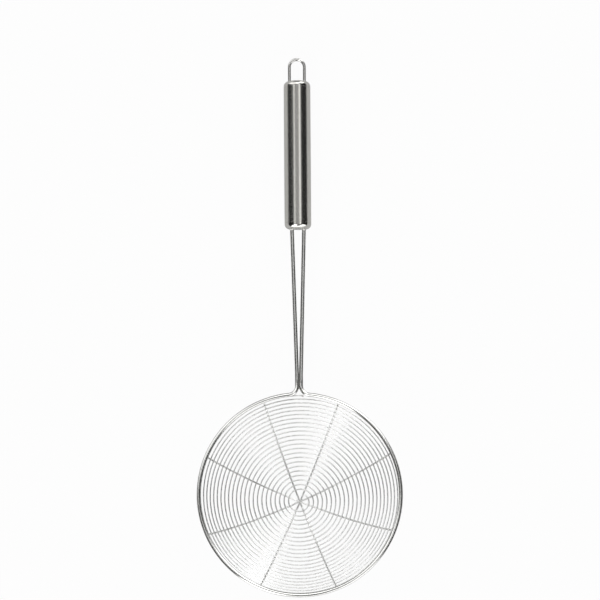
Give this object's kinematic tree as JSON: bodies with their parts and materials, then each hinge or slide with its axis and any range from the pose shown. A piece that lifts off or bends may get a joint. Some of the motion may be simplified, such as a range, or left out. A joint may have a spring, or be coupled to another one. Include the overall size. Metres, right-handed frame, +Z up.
{
  "type": "spider skimmer",
  "caption": "Wire skimmer with a shallow round spiral bowl, a split wire shank, a tubular handle and a hanging loop.",
  "frame": {"origin": "middle of the part's box, on the table that it lies on", "axes": "+Z up out of the bowl's opening; +Y from the bowl towards the hanging loop; +X to the right seen from above"},
  "size_m": [0.201, 0.5264, 0.0861],
  "materials": {
    "frame_steel": "polished stainless wire with fine drawing lines",
    "bowl_steel": "bright stainless wire",
    "handle_steel": "satin stainless, brushed along its length",
    "cap_steel": "satin stainless, polished round the shoulder",
    "inner_steel": "plain mill finish, out of sight",
    "loop_steel": "polished stainless wire"
  },
  "bodies": {
    "root": {"frame_wire": "frame_steel", "spiral_wire": "bowl_steel", "rib_a": "bowl_steel", "rib_b": "bowl_steel", "rib_c": "bowl_steel", "rib_d": "bowl_steel", "handle_tube": "handle_steel", "front_cap": "cap_steel", "rear_cap": "cap_steel", "front_anchor": "inner_steel", "rear_anchor": "inner_steel", "hanging_loop": "loop_steel"}
  },
  "joints": []
}
